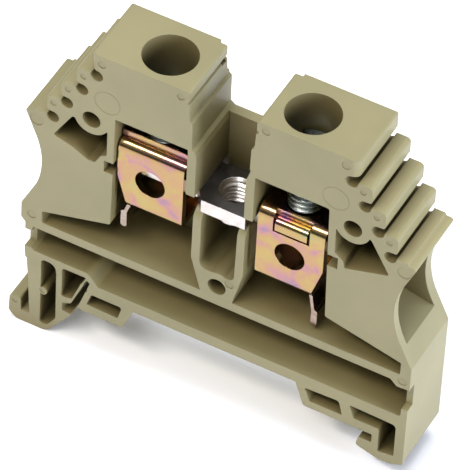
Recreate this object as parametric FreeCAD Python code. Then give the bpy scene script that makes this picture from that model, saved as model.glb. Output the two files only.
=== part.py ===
"""DIN rail feed-through terminal block with screw clamps, 8 mm wide.

Frame: millimetres, +Z up and away from the rail, +X along the block, +Y from the open side to the closed
side.  The origin is the middle of the 35 mm rail seat, at half of the block's width.
Side -1 is the end with the sprung foot, side +1 is the end with the fixed hook.
"""
import FreeCAD, Part

import math
import os

Vector = FreeCAD.Vector

# ---- driving dimensions -------------------------------------------------------------------------
WIDTH = 8.0                      # pitch of the block on the rail
FRONT = -WIDTH / 2               # open side
BACK = WIDTH / 2                 # closed side
BACK_WALL = 1.1
FLOOR = BACK - BACK_WALL         # where the moulded pockets end
FACE_WALL = 0.85                 # skin in front of the screw bores and the wire funnels
CENTRE_X = -0.75                 # plane that both clamps mirror across

RAIL_HALF = 17.5                 # 35 mm top-hat rail
RAIL_SHEET = 1.15                # slot for its 1 mm flange

TOP_Z = 36.35                    # top of both screw towers
SADDLE_Z = 28.5                  # top of the back wall between the towers
CHAMBER_TOP = 28.7
MID_RIB_BOTTOM = 9.05
MID_RIB_TOP = 10.15
BASE_BOTTOM = 2.9
BASE_TOP = 4.3

CLAMP_OFFSET = 7.75              # clamp axis from the mirror plane
CLAMP_Y = FRONT + 3.63           # clamp axis between the two faces
BORE_RADIUS = 2.82

BAR_TOP = 22.6
BAR_THICKNESS = 1.6
BAR_BOTTOM = BAR_TOP - BAR_THICKNESS
TAP_X = -0.3
TAP_Y = FRONT + 3.0
TAP_RADIUS = 1.5                 # M3
TAP_COLLAR_RADIUS = 1.85
TAP_LENGTH = 3.1

SHEET = 0.8                      # strip of the clamping yokes
YOKE_WIDTH = 7.3
YOKE_DEPTH = 6.15
YOKE_HEIGHT = 9.45
YOKE_LAYER = 7.8                 # underside of the inner top layer above the yoke's bottom face
YOKE_EYE = 4.4                   # centre of the round window above the yoke's bottom face
YOKE_INSET = 1.25                # how far the lower outer corner is cut back
GUARD_REACH = {-1: 3.25, 1: 4.15}   # how far each wire guard hangs below its yoke
YOKE_LOWEST = BAR_TOP - YOKE_LAYER + 0.1
RIGHT_LIFT = 0.0                 # the right clamp stands fully open
LEFT_LIFT = 1.85                 # the left clamp stands partly closed

SCREW_RADIUS = 1.96              # M4 crest
SCREW_ROOT = 1.62
SCREW_PITCH = 0.7
SCREW_HOLE = 2.03
HEAD_RADIUS = 2.7
HEAD_HEIGHT = 1.6
HEAD_TOP = {-1: 30.25, 1: 31.8}    # the left screw is driven down, the right one is backed out
SCREW_LENGTH = 7.6
SLOT_DEPTH = 1.0

PIN_HOLE_RADIUS = 1.0            # holes for the locating pins of the next block
PIN_BOSS_RADIUS = 1.9
LATCH_PIVOT_X = -19.5            # the sprung foot swings about this line
LATCH_PIVOT_Z = 7.5
OUTER_SEAM_RADIUS = 3.9          # where the outer and middle leaves join the housing
INNER_SEAM_RADIUS = 5.6          # where the thin inner leaf joins it
SEAM_GAP = 0.05
LEAF_SPLIT_X = -16.5             # between the middle leaf and the inner leaf


# ---- small helpers ------------------------------------------------------------------------------
def corner_path(points):
    """Closed wire through (x, z, corner radius) points, drawn in the XZ plane at y = 0."""
    corners = []
    count = len(points)
    for index, (x, z, radius) in enumerate(points):
        here = Vector(x, 0, z)
        before = Vector(points[index - 1][0], 0, points[index - 1][1])
        after = Vector(points[(index + 1) % count][0], 0, points[(index + 1) % count][1])
        to_before = (before - here).normalize()
        to_after = (after - here).normalize()
        if radius == 0:
            corners.append((here, here, here))
            continue
        half = to_before.getAngle(to_after) / 2
        reach = radius / math.tan(half)
        bisector = (to_before + to_after).normalize()
        centre = here + bisector * (radius / math.sin(half))
        corners.append((here + to_before * reach, centre - bisector * radius, here + to_after * reach))
    edges = []
    for index, (start, middle, end) in enumerate(corners):
        last_end = corners[index - 1][2]
        if last_end.distanceToPoint(start) > 1e-6:
            edges.append(Part.LineSegment(last_end, start).toShape())
        if start.distanceToPoint(end) > 1e-6:
            edges.append(Part.Arc(start, middle, end).toShape())
    return Part.Wire(edges)


def prism(points, y_from, y_to):
    """Solid with the outline's corners rounded as given, between two planes across the block."""
    face = Part.Face(corner_path(points))
    face.translate(Vector(0, y_from, 0))
    return face.extrude(Vector(0, y_to - y_from, 0))


def plain(points):
    """The same outline with sharp corners."""
    return [(x, z, 0) for x, z in points]


def box(x0, x1, y0, y1, z0, z1):
    return Part.makeBox(x1 - x0, y1 - y0, z1 - z0, Vector(x0, y0, z0))


def rod_y(x, z, radius, y_from, y_to):
    return Part.makeCylinder(radius, y_to - y_from, Vector(x, y_from, z), Vector(0, 1, 0))


def rod_z(x, y, radius, z_from, z_to):
    return Part.makeCylinder(radius, z_to - z_from, Vector(x, y, z_from))


def turned(points, x, y):
    """Solid of revolution about the vertical line at (x, y) from (radius, z) points."""
    ring = [Vector(radius, 0, z) for radius, z in points]
    face = Part.Face(Part.makePolygon(ring + ring[:1]))
    solid = face.revolve(Vector(0, 0, 0), Vector(0, 0, 1), 360)
    solid.translate(Vector(x, y, 0))
    return solid


def at(side, offset):
    """x of a feature that both clamps have."""
    return CENTRE_X + side * offset


def union(shapes):
    return shapes[0].multiFuse(shapes[1:]).removeSplitter()


# ---- housing ------------------------------------------------------------------------------------
STEPS = ((14.45, 34.25), (16.0, 31.63), (17.6, 29.0), (19.1, 26.3))  # (riser offset, its lower end)
STEP_SHIFT = {-1: 0.0, 1: 0.2}   # the steps of the right tower stand a little further out
SLOT = 0.65                      # marker slot between a riser's lower end and the ridge below it
GROOVE_RADIUS = 0.68             # round bottom of each marker slot
MOUTH_RADIUS = 9.4               # the rounded hollow of both ends, where the wires go in
MOUTH_OFFSET = 18.6              # where the hollow's two flanks would meet
MOUTH_Z = 18.27
MOUTH_OUT = 5.4                  # the flanks are drawn until this far beyond that
RIGHT_END = 21.15
LEFT_END = -21.9
LOBE_END = -22.4


def tower_side(side):
    """Outline from the saddle up the inner side of a tower and down the stepped outer side."""
    path = [(2.65, SADDLE_Z, 0.2), (3.15, 28.9, 0.15), (3.2, 32.3, 0.15), (3.5, 32.55, 0.1),
            (3.6, 34.65, 0.05), (3.85, 34.8, 0), (3.85, 35.0, 0), (3.65, 35.15, 0.05), (3.65, TOP_Z, 0.2),
            (STEPS[0][0] + STEP_SHIFT[side], TOP_Z, 0.25)]
    for number, (offset, foot) in enumerate(STEPS):
        riser = offset + STEP_SHIFT[side]
        ridge = foot - SLOT
        path += [(riser, foot, 0.25), (riser - 0.55, foot, 0), (riser - 0.55, ridge, 0)]
        if number < len(STEPS) - 1:
            path.append((STEPS[number + 1][0] + STEP_SHIFT[side], ridge, 0.45))
    lip = STEPS[-1][1] - SLOT
    path += [(20.5, lip, 0.12), (20.62, lip - 0.3, 0.1), (21.45, lip - 0.3, 0.4), (21.3, 23.6, 0)]
    return [(at(side, offset), z, radius) for offset, z, radius in path]


def right_foot_side():
    """Outline down the right end, around the fixed hook, to the underside of the base."""
    return [(RIGHT_END, 14.0, 0), (RIGHT_END, -2.5, 0.35), (19.7, -3.1, 1.0), (18.4, -3.1, 1.5),
            (15.9, -2.35, 0.35), (16.15, -RAIL_SHEET, 0.15), (RAIL_HALF + 0.1, -RAIL_SHEET, 0.15),
            (RAIL_HALF + 0.1, 0.0, 0.15), (9.9, 0.0, 0.4), (8.9, BASE_BOTTOM, 0.1)]


def left_foot_side():
    """Outline of the fixed block beside the sprung foot and of the roots of the foot's three leaves."""
    return [(-9.45, BASE_BOTTOM, 0.1), (-10.6, 0.0, 0.35), (-15.75, 0.0, 0.2), (-14.42, 4.3, 0.0),
            (-14.75, 4.55, 0.0), (-15.2, 3.3, 0.0), (-15.52, 3.3, 0.0), (-14.85, 4.9, 0.12),
            (-17.6, 4.9, 0.4), (-17.6, 3.3, 0), (-18.27, 3.3, 0), (-18.27, 4.9, 0.9),
            (-20.0, 4.9, 0.5), (-20.0, 3.3, 0), (-21.67, 3.3, 0), (LEFT_END, 5.2, 0.3)]


def leaf_zones():
    """(zone around the leaves on each seam, seam radius); the zones meet between the inner two leaves."""
    return ((box(LEFT_END - 2, LEAF_SPLIT_X, FRONT - 1, BACK + 1, 2.9, 4.85), OUTER_SEAM_RADIUS),
            (box(LEAF_SPLIT_X, -14.7, FRONT - 1, BACK + 1, 2.9, 4.7), INNER_SEAM_RADIUS))


def beyond_seams():
    """The stretches of the leaves' zones outside the seam circles, which belong to the sprung foot."""
    zones = []
    for zone, radius in leaf_zones():
        zones.append(zone.cut(rod_y(LATCH_PIVOT_X, LATCH_PIVOT_Z, radius, FRONT - 2, BACK + 2)))
    return zones


def within_seams():
    """The stretches of the leaves' zones that belong to the housing, with the seams' gap."""
    zones = []
    for zone, radius in leaf_zones():
        inside = rod_y(LATCH_PIVOT_X, LATCH_PIVOT_Z, radius + SEAM_GAP, FRONT - 2, BACK + 2)
        zones.append(zone.common(inside))
    return zones


def left_end_side():
    """Outline up the left end to the hollow of the wire mouth."""
    return [(LEFT_END, 9.3, 0.1), (LOBE_END, 9.9, 0.3), (LOBE_END, 14.0, 0)]


def housing_blank():
    """Full-width block inside its outline, with both wire mouths hollowed."""
    path = tower_side(1) + right_foot_side() + left_foot_side() + left_end_side()
    path += tower_side(-1)[::-1]
    blank = prism(path, FRONT, BACK)
    hollows = []
    far = MOUTH_OFFSET + MOUTH_OUT
    for side in (-1, 1):
        hollows.append(prism([(at(side, MOUTH_OFFSET), MOUTH_Z, MOUTH_RADIUS),
                              (at(side, far), MOUTH_Z + MOUTH_OUT / 0.413, 0),
                              (at(side, far), MOUTH_Z - MOUTH_OUT / 0.48, 0)], FRONT - 1, BACK + 1))
    return blank.cut(hollows)


def step_grooves():
    """Round bottoms of the marker slots, right across the block."""
    grooves = []
    for side in (-1, 1):
        for offset, foot in STEPS:
            x = at(side, offset + STEP_SHIFT[side] - 0.7)
            grooves.append(rod_y(x, foot - 0.7, GROOVE_RADIUS, FRONT - 1, BACK + 1))
    return grooves


def clamp_cavity():
    """One pocket from the open side: both clamp chambers, the bar's seat and the long upper channel."""
    return prism([(-20.05, MID_RIB_TOP, 0.2), (20.0, MID_RIB_TOP, 0.2), (20.0, 11.8, 0.2),
                  (11.5, 13.85, 0.3), (11.1, CHAMBER_TOP, 0.25), (3.05, CHAMBER_TOP, 0.1),
                  (3.05, BAR_TOP, 0.1), (-4.3, BAR_TOP, 0.1), (-4.3, CHAMBER_TOP, 0.1),
                  (-12.3, CHAMBER_TOP, 0.1), (-12.4, 13.95, 0.3), (-20.05, 11.75, 0.2)],
                 FRONT - 1, FLOOR)


def saddle_pocket():
    """Open pocket between the towers, down to the current bar."""
    return prism([(-3.35, BAR_TOP - 1, 0), (2.1, BAR_TOP - 1, 0), (2.1, 27.9, 0.5), (2.55, SADDLE_Z + 1, 0),
                  (-3.75, SADDLE_Z + 1, 0), (-3.35, 27.9, 0.5)], FRONT - 1, FLOOR)


def lower_channel():
    """Long pocket between the middle rib and the base, with a thickened corner at each end."""
    return prism([(-21.1, 5.65, 0.4), (-14.6, 5.65, 0.9), (-13.6, BASE_TOP, 0.4), (20.45, BASE_TOP, 0.3),
                  (20.45, 8.35, 0.2), (19.75, 8.35, 0.4), (19.0, MID_RIB_BOTTOM, 0.3),
                  (-21.1, MID_RIB_BOTTOM, 0.3)], FRONT - 1, FLOOR)


def channel_end_notches():
    """The end walls of the lower channel stop short of the open side."""
    return [box(LEFT_END - 1, -20.9, FRONT - 1, FRONT + 1.1, 5.95, 8.4),
            box(20.3, RIGHT_END + 1, FRONT - 1, FRONT + 1.1, 5.4, 8.4)]


def foot_pockets():
    """Coring of the rail feet, which keeps their walls even."""
    right_small = prism([(9.9, 2.6, 0.2), (10.6, 0.95, 0.1), (14.2, 0.95, 0.1), (13.75, 2.75, 0.4)],
                        FRONT - 1, FLOOR)
    right_large = prism([(14.9, 2.85, 0.15), (15.5, 1.2, 0.1), (18.3, 1.2, 0.2), (18.35, -2.0, 0.1),
                         (20.1, -1.75, 0.1), (20.1, 2.7, 0.5)], FRONT - 1, FLOOR)
    left_small = prism([(-14.7, 1.15, 0.1), (-11.15, 1.05, 0.15), (-10.7, 2.8, 0.3), (-14.2, 2.8, 0.2)],
                       FRONT - 1, FLOOR)
    return [right_small, right_large, left_small]


PIN_HOLES = ((-14.9, 27.35), (13.7, 27.35), (-0.36, 11.55))


def shoulder_pockets():
    """Coring beside each clamp, below the boss of the upper locating hole."""
    left = prism([(-13.1, 26.6, 0.4), (-17.0, 26.75, 0.3), (-19.05, 23.2, 0.25), (-16.8, 22.55, 0.1),
                  (-15.2, 21.7, 0.2), (-14.4, 21.7, 0.2), (-13.75, 22.9, 0.2), (-13.1, 23.3, 0.2)],
                 FRONT - 1, FLOOR)
    right = prism([(11.95, 26.4, 0.2), (15.7, 26.9, 0.4), (17.9, 23.05, 0.2), (13.15, 21.55, 0.1),
                   (13.0, 22.35, 0.2), (12.0, 23.2, 0.2)], FRONT - 1, FLOOR)
    bosses = [rod_y(x, z, PIN_BOSS_RADIUS, FRONT - 2, FLOOR + 1) for x, z in PIN_HOLES[:2]]
    return [left.cut(bosses[0]), right.cut(bosses[1])]


def pin_holes():
    return [rod_y(x, z, PIN_HOLE_RADIUS, FRONT - 1, FRONT + 5.0) for x, z in PIN_HOLES]


def wire_funnel(side):
    """Tapered way from the mouth in the end to the slot in the outer wall of the clamp chamber."""
    def ring(offset, y0, y1, z0, z1):
        x = at(side, offset)
        corners = [Vector(x, y0, z0), Vector(x, y1, z0), Vector(x, y1, z1), Vector(x, y0, z1)]
        return Part.makePolygon(corners + corners[:1])

    inner_y = (FRONT + 1.2, FLOOR - 0.5)
    mouth_y = (FRONT + FACE_WALL, FLOOR)
    taper = Part.makeLoft([ring(13.4, *inner_y, 15.9, 20.9), ring(22.2, *mouth_y, 13.3, 23.3)], True)
    ends = sorted((at(side, 11.5), at(side, 13.4)))
    throat = box(*ends, *inner_y, 15.9, 20.9)
    return [taper, throat]


def bar_end_notches():
    """Slots in the outer chamber walls that hold the ends of the current bar."""
    return [box(-13.35, -12.0, FRONT - 1, FRONT + 6.0, BAR_BOTTOM, BAR_BOTTOM + 1.5),
            box(11.0, 12.4, FRONT - 1, FRONT + 6.0, BAR_BOTTOM, BAR_BOTTOM + 1.5)]


def marker_rebates():
    """Shallow steps in the closed side at the inner top corner of each tower."""
    rebates = []
    for side in (-1, 1):
        ends = sorted((at(side, 3.0), at(side, 4.55)))
        rebates.append(box(*ends, BACK - 0.4, BACK + 1, TOP_Z - 3.45, TOP_Z + 1))
    return rebates


def ejector_marks():
    """Faint round prints that the mould's ejector pins leave on the open side."""
    depth = 0.07
    marks = []
    for side in (-1, 1):
        for offset, z, radius in ((13.2, 35.3, 0.45), (4.6, 35.4, 0.42), (20.2, 24.3, 0.75),
                                  (15.2, 32.7, 0.32), (16.85, 30.1, 0.32), (18.4, 27.45, 0.32)):
            marks.append(rod_y(at(side, offset), z, radius, FRONT - 1, FRONT + depth))
        ring = rod_y(at(side, 12.45), 30.5, 1.45, FRONT - 1, FRONT + 0.02)
        marks.append(ring.cut(rod_y(at(side, 12.45), 30.5, 1.35, FRONT - 1, FRONT + 0.02)))
    for x, z in ((-21.2, 10.75), (20.3, 9.3), (1.0, 12.6)):
        marks.append(rod_y(x, z, 0.5, FRONT - 1, FRONT + depth))
    return marks


def lip_slots():
    """A short deep slot near the closed side in the groove under each tower's inner lip."""
    slots = []
    for side in (-1, 1):
        ends = sorted((at(side, 3.0), at(side, 4.6)))
        slots.append(box(*ends, BACK - 1.5, BACK - 0.7, 34.45, 34.95))
    return slots


def bar_cradle():
    """Two bowed legs under the bar and the boss of the lower locating hole, standing on the middle rib."""
    outer = prism([(-3.35, BAR_BOTTOM, 0), (-3.35, 14.3, 1.5), (-2.1, MID_RIB_TOP - 0.2, 0),
                   (1.35, MID_RIB_TOP - 0.2, 0), (2.4, 14.5, 1.5), (2.4, BAR_BOTTOM, 0)],
                  FRONT, FLOOR + 0.2)
    hollow = prism([(-2.45, BAR_BOTTOM + 1, 0), (-2.4, 13.35, 0.9), (1.45, 13.2, 0.7),
                    (1.55, BAR_BOTTOM + 1, 0)], FRONT - 1, FLOOR)
    boss = rod_y(*PIN_HOLES[2], PIN_BOSS_RADIUS, FRONT, FLOOR + 0.2)
    lead_in = rounded_lead_in(-4.0, 3.0, BAR_BOTTOM, 1.4)
    return outer.cut(hollow.cut(boss)).cut(lead_in)


def rounded_lead_in(x0, x1, top, radius):
    """Waste that rounds the top front corner of a wall, for the bar to slide over."""
    corner = box(x0, x1, FRONT - 0.5, FRONT + radius, top - radius, top + 0.5)
    keep = Part.makeCylinder(radius, x1 - x0, Vector(x0, FRONT + radius, top - radius), Vector(1, 0, 0))
    return corner.cut(keep)


def screw_bores():
    return [rod_z(at(side, CLAMP_OFFSET), CLAMP_Y, BORE_RADIUS, CHAMBER_TOP - 1, TOP_Z + 1)
            for side in (-1, 1)]


def corner_rounds():
    """Waste that rounds the outer front corner of each tower."""
    radius = 0.8
    rounds = []
    for side in (-1, 1):
        edge = at(side, STEPS[0][0] + STEP_SHIFT[side])
        inside = edge - side * radius
        ends = sorted((inside, edge + side * 0.5))
        waste = box(*ends, FRONT - 0.5, FRONT + radius, STEPS[0][1] - 0.1, TOP_Z + 1)
        rounds.append(waste.cut(rod_z(inside, FRONT + radius, radius, 33, TOP_Z + 2)))
    return rounds


def housing():
    """Polyamide moulding, open on one side."""
    body = housing_blank()
    waste = [clamp_cavity(), saddle_pocket(), lower_channel()]
    waste += channel_end_notches() + foot_pockets() + shoulder_pockets() + bar_end_notches()
    waste += wire_funnel(-1) + wire_funnel(1) + screw_bores() + step_grooves()
    waste += marker_rebates() + lip_slots() + corner_rounds() + beyond_seams()
    body = body.cut(waste)
    body = union([body, bar_cradle()])
    return body.cut(pin_holes() + ejector_marks())


# ---- sprung rail foot ---------------------------------------------------------------------------
def sprung_foot():
    """Latch that hangs on three leaves and snaps under the edge of the rail."""
    outline = [(-21.75, 4.8, 0), (-21.5, 2.0, 0), (-21.2, -3.75, 0.1), (-22.2, -3.75, 0.15),
               (-22.25, -2.15, 0.25), (-23.5, -2.15, 0.3), (-23.6, -4.5, 0.7), (-22.6, -5.3, 0.8),
               (-19.2, -5.3, 1.3), (-16.35, -1.35, 0.12),
               (-17.5, -1.25, 0.15), (-17.5, -0.2, 0.15), (-16.5, 0.25, 0.2), (-14.8, 4.5, 0),
               (-15.12, 4.5, 0), (-16.45, 0.95, 0.1), (-17.6, 0.75, 0.2), (-17.6, 4.8, 0),
               (-18.27, 4.8, 0), (-18.2, -2.9, 0.6), (-19.1, -4.3, 0.6), (-20.0, -4.5, 0.3),
               (-20.0, 4.8, 0)]
    body = prism(outline, FRONT + 0.05, BACK - 0.05)
    stop = rod_y(-19.75, 0.35, 0.5, FRONT + 0.05, BACK - 0.05)
    prints = [rod_y(x, z, 0.3, FRONT - 1, FRONT + 0.12) for x, z in ((-19.8, 0.35), (-22.9, -2.75))]
    return union([body, stop]).cut(prints + within_seams())


# ---- current bar --------------------------------------------------------------------------------
def current_bar():
    """Tinned copper bar that joins both clamps, with a tapped cross-connection hole in its wide middle."""
    neck_front = FRONT + 1.6
    neck_back = FRONT + 5.65
    middle = box(-2.6, 2.25, FRONT + 0.05, FRONT + 5.85, BAR_BOTTOM, BAR_TOP)
    corners = [Vector(-2.6, FRONT + 0.05, BAR_BOTTOM), Vector(-3.8, neck_front, BAR_BOTTOM),
               Vector(-2.6, neck_front, BAR_BOTTOM)]
    shoulder = Part.Face(Part.makePolygon(corners + corners[:1])).extrude(Vector(0, 0, BAR_THICKNESS))
    neck = box(-12.0, 10.8, neck_front, neck_back, BAR_BOTTOM, BAR_TOP)
    tenons = box(-13.2, 12.3, neck_front, neck_back, BAR_BOTTOM, BAR_BOTTOM + 1.3)
    collar = rod_z(TAP_X, TAP_Y, TAP_COLLAR_RADIUS, BAR_TOP - TAP_LENGTH, BAR_BOTTOM + 0.2)
    bar = union([middle, shoulder, neck, tenons, collar])
    rim = 0.25
    entry = turned([(0, BAR_TOP + 1), (0, BAR_TOP - rim), (TAP_RADIUS, BAR_TOP - rim),
                    (TAP_RADIUS + rim, BAR_TOP), (TAP_RADIUS + rim, BAR_TOP + 1)], TAP_X, TAP_Y)
    bore = rod_z(TAP_X, TAP_Y, TAP_RADIUS, BAR_TOP - TAP_LENGTH - 1, BAR_TOP)
    return bar.cut([entry, bore])


# ---- clamping yokes -----------------------------------------------------------------------------
def yoke():
    """Strip bent into a ring around the bar; x is 0 on the screw's axis, +x points to the wire's side.

    The ring's ends lap at the top and both layers are tapped.  The front plate bends over the inner layer,
    whose end sends a tongue out through a window in that bend; it is bent down there and locks the ring.
    """
    lap = 0.05
    inner_top = YOKE_LAYER + SHEET
    under = inner_top + lap
    back = YOKE_DEPTH
    inner_end = SHEET + 0.1
    outer_end = back - SHEET - 0.15
    strip = [(inner_end, YOKE_LAYER, 0), (back - SHEET, YOKE_LAYER, 0.35), (back - SHEET, SHEET, 0.15),
             (SHEET, SHEET, 0.15), (SHEET, under, 0.4), (outer_end, under, 0.05),
             (outer_end, YOKE_HEIGHT, 0.1), (0, YOKE_HEIGHT, 1.2), (0, 0, 0.9), (back, 0, 0.9),
             (back, inner_top, 1.1), (inner_end + 0.35, inner_top, 0), (inner_end, inner_top - 0.35, 0)]
    tip = YOKE_LAYER - 0.55
    proud = 0.1
    tongue = [(1.5, inner_top, 0), (-proud, inner_top, 0.7), (-proud, tip, 0.1), (0.55, tip, 0.1),
              (0.55, YOKE_LAYER, 0.15), (1.5, YOKE_LAYER, 0)]
    half = 2.0
    window = [box(-half, half, -0.5, SHEET + 0.05, tip - 0.3, YOKE_HEIGHT + 0.5),
              box(-half, half, 0.5, 1.3, inner_top - 0.4, under + 0.01)]
    ring = across(strip, -YOKE_WIDTH / 2, YOKE_WIDTH / 2)
    ring = union([ring.cut(window), across(tongue, 0.25 - half, half - 0.25)])
    outer = YOKE_WIDTH / 2
    corner = prism(plain([(outer - YOKE_INSET, -0.5), (outer - YOKE_INSET, 0), (outer, 4.1),
                          (outer + 1, 4.1), (outer + 1, -0.5)]), -1, back + 1)
    eye = rod_y(0, YOKE_EYE, 1.65, -1, back + 1)
    tapping = rod_z(0, back / 2, SCREW_HOLE, YOKE_LAYER - 0.5, YOKE_HEIGHT + 0.5)
    return ring.cut([corner, eye, tapping])


def across(points, x_from, x_to):
    """Prism of a (y, z, radius) outline along x."""
    solid = prism(points, 0, x_to - x_from)
    solid.rotate(Vector(0, 0, 0), Vector(0, 0, 1), 90)
    solid = solid.mirror(Vector(0, 0, 0), Vector(1, 0, 0))
    solid.translate(Vector(x_from, 0, 0))
    return solid


def wire_guard(reach):
    """Thin sprung flap under a yoke that keeps a wire from slipping in below it, in the yoke's frame."""
    thickness = 0.3
    root = YOKE_WIDTH / 2 - YOKE_INSET
    flap = [(-1.2, 0, 0), (-1.2, -thickness, 0), (root - 0.1, -thickness, 0.1),
            (root + 0.2, 2.0 - reach, 0.2), (root + 0.15, -reach, 0.33), (root + 0.85, -reach, 0.33),
            (root + 0.85, 2.15 - reach, 0.3), (root + 0.5, 2.25 - reach, 0.2), (root + 0.2, 0, 0.15)]
    recess = box(-2, root - 0.15, -0.5, 2.0, -1, 1)
    far_recess = recess.translated(Vector(0, YOKE_DEPTH - 1.5, 0))
    return prism(flap, 0.35, YOKE_DEPTH - 0.35).cut([recess, far_recess])


def place_clamp_part(solid, side, lift):
    """Carry a solid from the yoke's frame to its clamp; the wire's side always faces the block's end."""
    placed = solid.copy()
    placed.translate(Vector(0, -YOKE_DEPTH / 2, 0))
    if side < 0:
        placed.rotate(Vector(0, 0, 0), Vector(0, 0, 1), 180)
    placed.translate(Vector(at(side, CLAMP_OFFSET), CLAMP_Y, YOKE_LOWEST + lift))
    return placed


# ---- clamping screws ----------------------------------------------------------------------------
def clamp_screw(side):
    """M4 screw with a slotted cheese head; the left one's tip bears on the bar."""
    top = HEAD_TOP[side]
    shoulder = top - HEAD_HEIGHT
    tip = top - SCREW_LENGTH
    profile = [(0, tip), (1.3, tip), (SCREW_ROOT, tip + 0.35)]
    turns = int((shoulder - 0.4 - tip - 0.35) / SCREW_PITCH)
    for turn in range(turns):
        low = tip + 0.35 + turn * SCREW_PITCH
        profile += [(SCREW_RADIUS, low + 0.3), (SCREW_RADIUS, low + 0.4), (SCREW_ROOT, low + SCREW_PITCH)]
    profile += [(SCREW_ROOT, shoulder - 0.1), (SCREW_ROOT + 0.1, shoulder), (HEAD_RADIUS - 0.1, shoulder),
                (HEAD_RADIUS, shoulder + 0.1), (HEAD_RADIUS, top - 0.3), (HEAD_RADIUS - 0.3, top), (0, top)]
    x = at(side, CLAMP_OFFSET)
    reach = HEAD_RADIUS + 1
    slot = box(x - reach, x + reach, CLAMP_Y - 0.5, CLAMP_Y + 0.5, top - SLOT_DEPTH, top + 1)
    return turned(profile, x, CLAMP_Y).cut(slot)


# ---- export -------------------------------------------------------------------------------------
def main():
    ring = yoke()
    parts = {
        "housing": housing(),
        "rail_foot_latch": sprung_foot(),
        "current_bar": current_bar(),
        "left_yoke": place_clamp_part(ring, -1, LEFT_LIFT),
        "right_yoke": place_clamp_part(ring, 1, RIGHT_LIFT),
        "left_wire_guard": place_clamp_part(wire_guard(GUARD_REACH[-1]), -1, LEFT_LIFT),
        "right_wire_guard": place_clamp_part(wire_guard(GUARD_REACH[1]), 1, RIGHT_LIFT),
        "left_clamp_screw": clamp_screw(-1),
        "right_clamp_screw": clamp_screw(1),
    }
    os.makedirs("parts", exist_ok=True)
    for name, shape in parts.items():
        solids = shape.Solids
        shape = solids[0] if len(solids) == 1 else shape
        shape.exportStep(os.path.join("parts", name + ".step"))
        size = shape.BoundBox
        print("%-18s solids %d valid %s  %.2f x %.2f x %.2f mm, %.1f mm3" % (
            name, len(solids), shape.isValid(), size.XLength, size.YLength, size.ZLength, shape.Volume))


main()
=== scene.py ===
# %% [markdown]
# # A screw terminal block for a 35 mm rail
# The block is one thin polyamide moulding, open on one side, that holds two wire clamps on a common bar.
# The imported CAD model is the frame of everything here: it gives every size, and it moves at the joints.
# Blender adds what the CAD leaves out, such as screw threads, the sliced leaves of the sprung foot and the
# finishes.

# %% Load the frame
import math

import bmesh
import bpy
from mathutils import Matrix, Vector


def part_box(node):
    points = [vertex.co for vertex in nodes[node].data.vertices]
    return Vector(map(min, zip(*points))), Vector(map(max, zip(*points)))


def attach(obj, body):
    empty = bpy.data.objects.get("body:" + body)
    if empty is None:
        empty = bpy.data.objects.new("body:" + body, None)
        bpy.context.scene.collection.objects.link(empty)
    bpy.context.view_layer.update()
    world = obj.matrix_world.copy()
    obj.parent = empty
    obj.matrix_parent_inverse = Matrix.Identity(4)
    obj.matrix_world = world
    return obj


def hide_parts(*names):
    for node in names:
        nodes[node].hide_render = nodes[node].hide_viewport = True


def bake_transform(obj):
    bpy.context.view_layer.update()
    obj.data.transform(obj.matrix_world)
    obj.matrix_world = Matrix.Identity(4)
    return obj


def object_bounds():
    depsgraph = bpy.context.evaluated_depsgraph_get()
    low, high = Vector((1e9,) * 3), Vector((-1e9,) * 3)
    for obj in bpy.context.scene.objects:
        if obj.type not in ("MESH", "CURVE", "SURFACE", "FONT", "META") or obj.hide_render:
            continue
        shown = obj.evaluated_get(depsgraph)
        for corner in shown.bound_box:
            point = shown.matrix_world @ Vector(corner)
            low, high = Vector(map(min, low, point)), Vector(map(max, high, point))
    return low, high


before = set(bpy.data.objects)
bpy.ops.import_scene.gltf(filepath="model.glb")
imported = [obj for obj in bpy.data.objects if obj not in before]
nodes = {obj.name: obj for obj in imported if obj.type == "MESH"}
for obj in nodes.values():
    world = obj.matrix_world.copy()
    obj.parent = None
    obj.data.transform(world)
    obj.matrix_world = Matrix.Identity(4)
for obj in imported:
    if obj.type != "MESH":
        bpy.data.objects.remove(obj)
cad_bounds = [list(corner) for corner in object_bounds()]
MM = 0.001
low, high = (Vector(corner) for corner in cad_bounds)
print("CAD size in mm:", [round(side / MM, 2) for side in high - low])

# %% [markdown]
# ## Camera
# A product shot of a small part is taken from well back with a long lens, which keeps its parallel walls
# nearly parallel. The camera looks down on the open side and sees the end with the fixed hook.

# %% Long lens from above the open side
camera = bpy.data.objects.new("camera", bpy.data.cameras.new("camera"))
bpy.context.scene.collection.objects.link(camera)
camera.location = (0.17227, -0.35984, 0.43432)
camera.rotation_euler = [math.radians(angle) for angle in (43.548, -2.504, 28.296)]
camera.data.lens = 452.0
camera.data.sensor_width = 36.0
camera.data.clip_start = 0.05
camera.data.clip_end = 20.0
bpy.context.scene.camera = camera
print("camera distance in mm:", round(camera.location.length / MM))

# %% [markdown]
# ## Colours and nodes
# Paint charts and colour pickers give sRGB values, but a shader works in linear light, so one function
# turns a hex colour to linear. Another adds a node with its settings and its links.

# %% Helpers for materials
def colour(hex_code):
    """Linear RGBA from an sRGB hex string."""
    channels = [int(hex_code[i:i + 2], 16) / 255 for i in (1, 3, 5)]
    return [c / 12.92 if c <= 0.04045 else ((c + 0.055) / 1.055) ** 2.4 for c in channels] + [1.0]


def add(tree, kind, inputs=None, **settings):
    """A new node: settings are its own values, inputs are numbers, colours or the sockets that feed it."""
    made = tree.nodes.new(kind)
    for name, value in settings.items():
        setattr(made, name, value)
    for name, value in (inputs or {}).items():
        if isinstance(value, bpy.types.NodeSocket):
            tree.links.new(value, made.inputs[name])
        else:
            made.inputs[name].default_value = value
    return made


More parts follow.
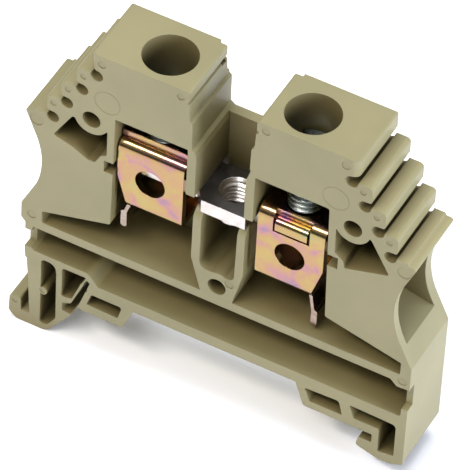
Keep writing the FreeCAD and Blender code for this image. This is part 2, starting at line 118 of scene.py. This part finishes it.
def ramp(tree, factor, stops):
    """A colour ramp through (position, linear colour) stops."""
    made = add(tree, "ShaderNodeValToRGB", {"Fac": factor})
    elements = made.color_ramp.elements
    elements[0].position, elements[0].color = stops[0]
    elements[1].position, elements[1].color = stops[-1]
    for position, value in stops[1:-1]:
        elements.new(position).color = value
    return made.outputs["Color"]


def material(name):
    """An empty node material with its Principled shader and its tree."""
    made = bpy.data.materials.new(name)
    made.use_nodes = True
    tree = made.node_tree
    return made, tree, tree.nodes["Principled BSDF"]


def link(tree, output, shader, socket):
    """Feed a socket of the shader from a node's output."""
    tree.links.new(output, shader.inputs[socket])


# %% [markdown]
# ## Polyamide
# The housing is beige polyamide 66, moulded in a spark-eroded tool. The tool leaves an even, fine grain
# that makes the plastic satin, and the melt leaves faint drifts of tone. The mould's edges are never quite
# sharp, so the shading normal is rounded over a tenth of a millimetre, which catches a thin line of light.

# %% Moulded polyamide
def make_polyamide():
    """Beige polyamide 66 with a satin spark grain."""
    made, tree, shader = material("moulded_polyamide_beige")
    place = add(tree, "ShaderNodeTexCoord").outputs["Object"]
    drift = add(tree, "ShaderNodeTexNoise", {"Vector": place, "Scale": 1 / (9 * MM), "Detail": 3.0})
    tone = ramp(tree, drift.outputs["Fac"], [(0.3, colour("#7C7653")), (0.7, colour("#857E5A"))])
    # Shade is painted into the colour here: the base colour darkens towards brown in recesses and pockets,
    # where less light reaches.
    open_sky = add(tree, "ShaderNodeAmbientOcclusion", {"Distance": 7 * MM}, samples=8).outputs["AO"]
    painted_recess_shade = ramp(tree, open_sky, [(0.12, (0.30, 0.27, 0.18, 1)), (0.42, (0.84, 0.75, 0.62, 1)),
                                  (0.8, (1, 1, 1, 1))])
    shaded_polyamide_tone = add(tree, "ShaderNodeMixRGB", {"Fac": 1.0, "Color1": tone, "Color2": painted_recess_shade}, blend_type="MULTIPLY")
    link(tree, shaded_polyamide_tone.outputs["Color"], shader, "Base Color")
    # The real spark grain is about 0.03 mm; it is drawn at 0.12 mm so that it still shows.
    grain = add(tree, "ShaderNodeTexNoise", {"Vector": place, "Scale": 1 / (0.12 * MM), "Detail": 2.0})
    edge = add(tree, "ShaderNodeBevel", {"Radius": 0.1 * MM}, samples=6)
    bump = add(tree, "ShaderNodeBump", {"Height": grain.outputs["Fac"], "Strength": 0.12,
                                        "Distance": 0.02 * MM, "Normal": edge.outputs["Normal"]})
    link(tree, bump.outputs["Normal"], shader, "Normal")
    sheen = add(tree, "ShaderNodeMapRange", {"Value": grain.outputs["Fac"], "To Min": 0.42, "To Max": 0.52})
    link(tree, sheen.outputs["Result"], shader, "Roughness")
    shader.inputs["IOR"].default_value = 1.53
    return made


polyamide = make_polyamide()
print("material:", polyamide.name)

# %% [markdown]
# ## Yellow chromate, blue chromate, tin and nickel
# The yokes are steel strip, zinc plated and passivated in a yellow chromate bath. The film is a few hundred
# nanometres thick and uneven, so gold drifts into pink, violet and green over a millimetre or two. The
# screws are zinc plated too and passivated blue, the bar is tinned and the springy guards are nickel plated.

# %% Plated metals
def make_plating(name, film, roughness, film_size, brushed, painted_top_shade=1.0):
    """Plated metal: film is a list of ramp stops, film_size its drift in mm, brushed its mark spacing in mm.

    Faces that look up get painted shade in their colour, standing in for the dark walls they mirror; the last
    argument says how much of their brightness is left.
    """
    made, tree, shader = material(name)
    place = add(tree, "ShaderNodeTexCoord").outputs["Object"]
    warp = add(tree, "ShaderNodeTexNoise", {"Vector": place, "Scale": 1 / (film_size * MM), "Detail": 4.0,
                                            "Roughness": 0.55, "Distortion": 0.6})
    tone = ramp(tree, warp.outputs["Fac"], film)
    # Paint shade on faces that look up: their colour is darkened, standing in for the dark walls they mirror.
    if painted_top_shade < 1.0:
        normal = add(tree, "ShaderNodeNewGeometry").outputs["Normal"]
        facing = add(tree, "ShaderNodeSeparateXYZ", {"Vector": normal})
        left = ramp(tree, facing.outputs["Z"], [(0.8, (1, 1, 1, 1)), (0.98, [painted_top_shade] * 3 + [1])])
        tone = add(tree, "ShaderNodeMixRGB", {"Fac": 1.0, "Color1": tone, "Color2": left},
                   blend_type="MULTIPLY").outputs["Color"]
    link(tree, tone, shader, "Base Color")
    stretch = add(tree, "ShaderNodeMapping", {"Vector": place, "Scale": (1.0, 1.0, 0.08)})
    marks = add(tree, "ShaderNodeTexNoise", {"Vector": stretch.outputs["Vector"],
                                             "Scale": 1 / (brushed * MM), "Detail": 3.0})
    edge = add(tree, "ShaderNodeBevel", {"Radius": 0.06 * MM}, samples=6)
    bump = add(tree, "ShaderNodeBump", {"Height": marks.outputs["Fac"], "Strength": 0.12,
                                        "Distance": 0.01 * MM, "Normal": edge.outputs["Normal"]})
    link(tree, bump.outputs["Normal"], shader, "Normal")
    dull = add(tree, "ShaderNodeMapRange", {"Value": warp.outputs["Fac"], "To Min": roughness * 0.8,
                                            "To Max": roughness * 1.25})
    link(tree, dull.outputs["Result"], shader, "Roughness")
    shader.inputs["Metallic"].default_value = 1.0
    return made


yellow_chromate = make_plating("yellow_chromate_on_zinc", [
    (0.29, colour("#82708B")), (0.41, colour("#A77D7B")), (0.5, colour("#A88864")),
    (0.62, colour("#A7935E")), (0.74, colour("#87927A"))], 0.17, 3.0, 0.15)
blue_chromate = make_plating("blue_chromate_on_zinc", [
    (0.35, colour("#767E7C")), (0.65, colour("#919794"))], 0.26, 1.5, 0.15)
# The tin's faces that look up keep a quarter of their brightness; the rest is painted shade.
tin = make_plating("bright_tin_on_copper", [
    (0.35, colour("#BDB6B0")), (0.65, colour("#D3CDC8"))], 0.24, 1.5, 0.2, painted_top_shade=0.25)
nickel = make_plating("nickel_on_spring_steel", [
    (0.35, colour("#8E7767")), (0.65, colour("#A39C93"))], 0.2, 1.2, 0.15)
print("materials:", [made.name for made in (yellow_chromate, blue_chromate, tin, nickel)])


# %% [markdown]
# ## Dress the CAD pieces
# Pieces whose CAD shape is already right keep it and only get their finish.

# %% Assign finishes
def dress(obj, finish):
    """Give an object one finish all over."""
    obj.data.materials.clear()
    obj.data.materials.append(finish)


finishes = {
    "housing": polyamide, "rail_foot_latch": polyamide, "current_bar": tin,
    "left_yoke": yellow_chromate, "right_yoke": yellow_chromate,
    "left_wire_guard": nickel, "right_wire_guard": nickel,
    "left_clamp_screw": blue_chromate, "right_clamp_screw": blue_chromate,
}
for node_name, finish in finishes.items():
    dress(nodes[node_name], finish)
print("dressed:", len(finishes), "CAD pieces")


# %% [markdown]
# ## Clamping screws
# A real M4 screw has one helical groove. A grid of points wound round the axis gives it: the radius at each
# point comes from how far the point is along the thread's pitch. This is exact and light, where a screw
# modifier would need a profile with no gaps at its ends.

# %% Helical surfaces
AROUND = 72


def mesh_object(name, points, faces, finish, smooth=True):
    """A mesh object in the scene with one finish."""
    mesh = bpy.data.meshes.new(name)
    mesh.from_pydata(points, [], faces)
    mesh.update()
    made = bpy.data.objects.new(name, mesh)
    bpy.context.scene.collection.objects.link(made)
    if smooth:
        mesh.shade_smooth()
    dress(made, finish)
    return made


def ring_faces(rings, around):
    """Quads between rings of points, each ring above the one before it."""
    faces = []
    for ring in range(rings - 1):
        for step in range(around):
            after = (step + 1) % around
            faces.append((ring * around + step, ring * around + after,
                          (ring + 1) * around + after, (ring + 1) * around + step))
    return faces


def end_caps(rings, around):
    """The faces that close the first and the last ring."""
    last = (rings - 1) * around
    return [tuple(range(around - 1, -1, -1)), tuple(range(last, last + around))]


def ring_point(x, y, radius, turn, height):
    """A point at a radius and a share of a turn about a vertical axis at (x, y)."""
    angle = 2 * math.pi * turn
    return (x + radius * math.cos(angle), y + radius * math.sin(angle), height)


def wound_points(x, y, heights, radius_at):
    """Rings of points about a vertical axis; radius_at(height, turn) gives each point's radius."""
    return [ring_point(x, y, radius_at(height, step / AROUND), step / AROUND, height)
            for height in heights for step in range(AROUND)]


def thread_depth(height, turn, pitch):
    """0 in the groove to 1 on the crest of a right-hand thread with 60 degree flanks."""
    phase = (height / pitch - turn) % 1.0
    from_crest = abs(phase - 0.5) * 2
    return min(1.0, max(0.0, (1 - from_crest - 0.12) / 0.7))


# %% Threaded shank and slotted head
PITCH = 0.7 * MM
CREST = 1.96 * MM
ROOT = 1.55 * MM
HEAD_RADIUS = 2.7 * MM
HEAD_HEIGHT = 1.6 * MM
SLOT_WIDTH = 1.0 * MM
SLOT_DEPTH = 1.0 * MM


def screw_shank(name, x, y, bottom, shoulder):
    """Threaded shank from its pointed tip up to the head, where the thread runs out."""
    runout = 0.5 * MM
    tip_cone = 0.4 * MM
    into_head = 0.2 * MM

    def radius_at(height, turn):
        full = min(1.0, max(0.0, (shoulder - height) / runout))
        radius = ROOT + (CREST - ROOT) * thread_depth(height, turn, PITCH) * full
        return min(radius, CREST - tip_cone + (height - bottom))

    rows = 150
    heights = [bottom + (shoulder + into_head - bottom) * row / rows for row in range(rows + 1)]
    points = wound_points(x, y, heights, radius_at)
    faces = ring_faces(len(heights), AROUND) + end_caps(len(heights), AROUND)
    return mesh_object(name, points, faces, blue_chromate)


def screw_head(name, x, y, shoulder):
    """Cheese head turned from a profile of (radius, height) in mm, with rounded rims."""
    core, rim = 0.3, HEAD_RADIUS / MM
    profile = [(core, 0.0), (rim - 0.12, 0.0), (rim - 0.03, 0.04), (rim, 0.13), (rim, 1.3),
               (rim - 0.05, 1.45), (rim - 0.15, 1.55), (rim - 0.3, HEAD_HEIGHT / MM),
               (core, HEAD_HEIGHT / MM)]
    around = 96
    points = [ring_point(x, y, radius * MM, step / around, shoulder + height * MM)
              for radius, height in profile for step in range(around)]
    faces = ring_faces(len(profile), around) + end_caps(len(profile), around)
    return mesh_object(name, points, faces, blue_chromate)


def cut_slot(head, x, y, top, slot_angle):
    """Saw the driver's slot across a head, and keep its flat faces flat."""
    bpy.ops.mesh.primitive_cube_add(size=1, location=(x, y, top))
    cutter = bpy.context.object
    cutter.scale = (4 * HEAD_RADIUS, SLOT_WIDTH, 2 * SLOT_DEPTH)
    cutter.rotation_euler.z = math.radians(slot_angle)
    cut = head.modifiers.new("slot", "BOOLEAN")
    cut.object = cutter
    cut.operation = "DIFFERENCE"
    cut.solver = "EXACT"
    bpy.context.view_layer.update()
    evaluated = head.evaluated_get(bpy.context.evaluated_depsgraph_get())
    head.data = bpy.data.meshes.new_from_object(evaluated)
    head.modifiers.clear()
    bpy.data.objects.remove(cutter)
    head.data.shade_flat()
    flat_from = 0.95
    for face in head.data.polygons:
        face.use_smooth = abs(face.normal.z) < flat_from


# %% [markdown]
# Each screw takes its place and its length from the CAD screw that it replaces. Its slot stands at whatever
# angle the last turn left it.

# %% Two clamping screws
def clamp_screw(side, slot_angle):
    """Shank and slotted head of one side's screw, on the body of the CAD screw."""
    node_name = side + "_clamp_screw"
    bottom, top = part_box(node_name)
    x, y = (bottom.x + top.x) / 2, (bottom.y + top.y) / 2
    shoulder = top.z - HEAD_HEIGHT
    shank = screw_shank(side + "_screw_shank", x, y, bottom.z, shoulder)
    head = screw_head(side + "_screw_head", x, y, shoulder)
    cut_slot(head, x, y, top.z, slot_angle)
    for piece in (shank, head):
        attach(piece, node_name)
    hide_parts(node_name)
    print(side, "screw:", len(shank.data.vertices), "points in the thread, head top at mm",
          round(top.z / MM, 2))


clamp_screw("left", 8)
clamp_screw("right", -35)

# %% [markdown]
# ## Tapped hole of the bar
# The bar's wide middle is drawn down into a short collar and tapped M3. The CAD hole has the thread's outer
# radius, so a wound rib inside it is the part of the metal that stands between the grooves.

# %% Internal thread
BAR_HOLE = (-0.3 * MM, low.y + 3.0 * MM)
BAR_PITCH = 0.5 * MM
BAR_GROOVE = 1.51 * MM
BAR_RIDGE = 1.23 * MM


def bar_thread():
    """Thread ridge inside the bar's tapped hole, fading out at both mouths."""
    bar_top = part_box("current_bar")[1].z
    first, last = bar_top - 3.0 * MM, bar_top - 0.27 * MM
    fade = 0.3 * MM

    def radius_at(height, turn):
        ends = min(1.0, (height - first) / fade, (last - height) / fade)
        return BAR_GROOVE - (BAR_GROOVE - BAR_RIDGE) * thread_depth(height, turn, BAR_PITCH) * max(0.0, ends)

    rows = 90
    heights = [first + (last - first) * row / rows for row in range(rows + 1)]
    inward = [face[::-1] for face in ring_faces(len(heights), AROUND)]
    made = mesh_object("bar_thread", wound_points(*BAR_HOLE, heights, radius_at), inward, tin)
    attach(made, "housing")
    print("bar thread:", len(heights), "rings")


bar_thread()

# %% [markdown]
# ## Sprung rail foot
# Housing and foot are one moulding: the foot hangs on three thin leaves that bend when it is pulled
# outwards. The CAD turns the foot about a hinge instead. Here the foot's mesh is sliced into many short
# bands across the leaves, and its seam with the housing is closed.

# %% Slice the leaves
PIVOT = Vector((-19.5, 0.0, 7.5)) * MM
LEAF_TOP = 3.7 * MM
LEAF_FOOT = 0.9 * MM
BANDS = 16
# The CAD divides foot and housing on two arcs about the pivot. There the foot is drawn into the housing by
# a little more than the gap, so that the moulding shows no seam.
SEAM_RADII = (3.95 * MM, 5.65 * MM)
SEAM_ABOVE = 3.4 * MM
SEAM_CLOSED_BY = 0.06 * MM
NEAR = 0.02 * MM


def slice_in_bands(edit):
    """Cut the mesh across at even heights along the leaves."""
    for band in range(BANDS + 1):
        height = LEAF_FOOT + (LEAF_TOP - LEAF_FOOT) * band / BANDS
        bmesh.ops.bisect_plane(edit, geom=edit.verts[:] + edit.edges[:] + edit.faces[:], dist=1e-7,
                               plane_co=(0, 0, height), plane_no=(0, 0, 1))


def close_seam(edit):
    """Move the points on the seam's arcs towards the pivot."""
    for vert in edit.verts:
        away = Vector((vert.co.x - PIVOT.x, 0, vert.co.z - PIVOT.z))
        for radius in SEAM_RADII:
            if abs(away.length - radius) < NEAR and vert.co.z > SEAM_ABOVE:
                vert.co -= away.normalized() * SEAM_CLOSED_BY


def sprung_foot():
    """The foot's own mesh, sliced into bands, with its seam to the housing closed."""
    source = nodes["rail_foot_latch"]
    made = bpy.data.objects.new("sprung_rail_foot", source.data.copy())
    bpy.context.scene.collection.objects.link(made)
    edit = bmesh.new()
    edit.from_mesh(made.data)
    bmesh.ops.remove_doubles(edit, verts=edit.verts, dist=0.001 * MM)
    slice_in_bands(edit)
    close_seam(edit)
    edit.to_mesh(made.data)
    edit.free()
    dress(made, polyamide)
    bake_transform(made)
    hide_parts("rail_foot_latch")
    print("sprung foot:", len(made.data.vertices), "points")


sprung_foot()

# %% [markdown]
# ## Floor and studio light
# A white table under the block, a large soft box overhead, a cool one past the fixed hook's end, a
# narrow one in front that draws thin glints on the bends of the strip, and a weak one by the camera that
# reaches into the pocket between the towers. Soft light from four sides leaves no hard shadows.

# %% Floor
TABLE_HALF = 2.0


def make_floor():
    """A large flat table at the height of the block's lowest point."""
    made, tree, shader = material("white_table_laminate")
    place = add(tree, "ShaderNodeTexCoord").outputs["Object"]
    cloud = add(tree, "ShaderNodeTexNoise", {"Vector": place, "Scale": 1 / (60 * MM)})
    tone = ramp(tree, cloud.outputs["Fac"], [(0.3, colour("#F7F7F7")), (0.7, colour("#FAFAFA"))])
    link(tree, tone, shader, "Base Color")
    shader.inputs["Roughness"].default_value = 0.6
    corners = [(x * TABLE_HALF, y * TABLE_HALF, low.z) for x, y in ((-1, -1), (1, -1), (1, 1), (-1, 1))]
    table = mesh_object("table", corners, [(0, 1, 2, 3)], made, smooth=False)


make_floor()


# %% Lights
def soft_box(name, place, size, power, tint):
    """A rectangular lamp that faces the middle of the block; power is in watts."""
    data = bpy.data.lights.new(name, "AREA")
    data.shape = "RECTANGLE"
    data.size, data.size_y = size
    data.energy = power
    data.color = colour(tint)[:3]
    made = bpy.data.objects.new(name, data)
    bpy.context.scene.collection.objects.link(made)
    made.location = place
    aim = Vector((0, 0, 15 * MM)) - made.location
    made.rotation_euler = aim.to_track_quat("-Z", "Y").to_euler()
    return made


soft_box("overhead_box", (-0.06, 0.1, 0.84), (0.6, 0.5), 6.0, "#F4F8FF")
soft_box("front_box", (-0.24, -0.42, 0.70), (0.30, 0.10), 3.0, "#FFF6EE")
soft_box("camera_box", (0.03, -0.50, 0.72), (0.30, 0.25), 2.4, "#FFFFFF")
soft_box("end_box", (0.75, -0.05, 0.2), (0.4, 0.4), 8.5, "#E3EBFF")


def make_studio():
    """A room that is pale level with the table, dark in a band above it, and paler again to the ceiling."""
    world = bpy.data.worlds.new("studio")
    bpy.context.scene.world = world
    world.use_nodes = True
    tree = world.node_tree
    way = add(tree, "ShaderNodeTexCoord").outputs["Generated"]
    up = add(tree, "ShaderNodeSeparateXYZ", {"Vector": way}).outputs["Z"]
    walls = [(0.0, (0.25, 0.24, 0.22, 1)), (0.3, (0.03, 0.035, 0.04, 1)), (0.5, (0.35, 0.35, 0.36, 1)),
             (1.0, (0.55, 0.55, 0.56, 1))]
    tree.links.new(ramp(tree, up, walls), tree.nodes["Background"].inputs["Color"])
    tree.nodes["Background"].inputs["Strength"].default_value = 1.0


make_studio()
bpy.context.scene.view_settings.view_transform = "Standard"
